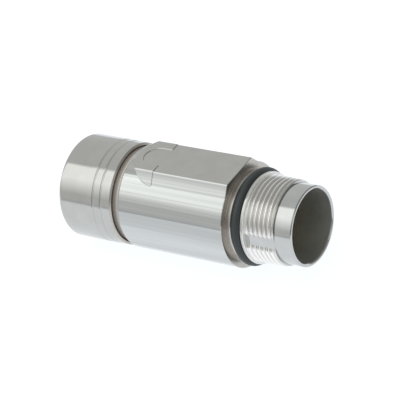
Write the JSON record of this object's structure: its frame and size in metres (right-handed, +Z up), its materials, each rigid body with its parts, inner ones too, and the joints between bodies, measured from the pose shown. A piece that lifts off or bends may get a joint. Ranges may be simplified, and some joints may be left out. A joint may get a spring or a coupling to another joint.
{
  "type": "circular power connector",
  "caption": "Metal circular cable coupler with an outside coupling thread, seal ring, body with a raised flat pad, pin insert and a screw-down cable gland at the rear.",
  "frame": {"origin": "on the connector's axis at the rear end of the coupling thread, where the thread meets the flange", "axes": "+X along the axis towards the mating end, +Z up out of the flat pad on the body; the connector lies on its side, on the gland nut and the body"},
  "size_m": [0.0532, 0.021, 0.0211],
  "materials": {
    "nickel_plate": "bright nickel plating on turned brass",
    "seal_rubber": "smooth black rubber",
    "insulator": "black moulded plastic",
    "contact_gold": "gold plating on turned brass",
    "bare_brass": "plain turned brass",
    "spring_steel": "spring steel",
    "cage_plastic": "pale moulded plastic"
  },
  "bodies": {
    "connector": {"housing": "nickel_plate", "coupling_seal": "seal_rubber", "insert_gasket": "seal_rubber", "insert_front": "insulator", "insert_rear": "insulator", "contact_1": "contact_gold", "contact_2": "contact_gold", "contact_3": "contact_gold", "contact_4": "contact_gold", "contact_5": "contact_gold", "contact_earth": "contact_gold", "earth_plate": "bare_brass", "snap_ring": "spring_steel", "screen_sleeve": "bare_brass", "shield_ring": "bare_brass", "clamp_cage": "cage_plastic", "cable_seal": "seal_rubber", "rear_seal": "seal_rubber"},
    "thrust": {"thrust_ring": "bare_brass"},
    "nut": {"gland_nut": "nickel_plate"}
  },
  "joints": [
    {"name": "gland_travel", "type": "slide", "parent": "connector", "child": "thrust", "axis": [1, 0, 0], "range_m": [-0.00255, 0.00122]},
    {"name": "gland_turn", "type": "hinge", "parent": "thrust", "child": "nut", "pos_m": [-0.037, 0, 0], "axis": [1, 0, 0], "range_deg": [-900, 430]}
  ],
  "couplings": [
    {"joint": "gland_travel", "follows": "gland_turn", "m_per_rad": 0.00015915}
  ]
}
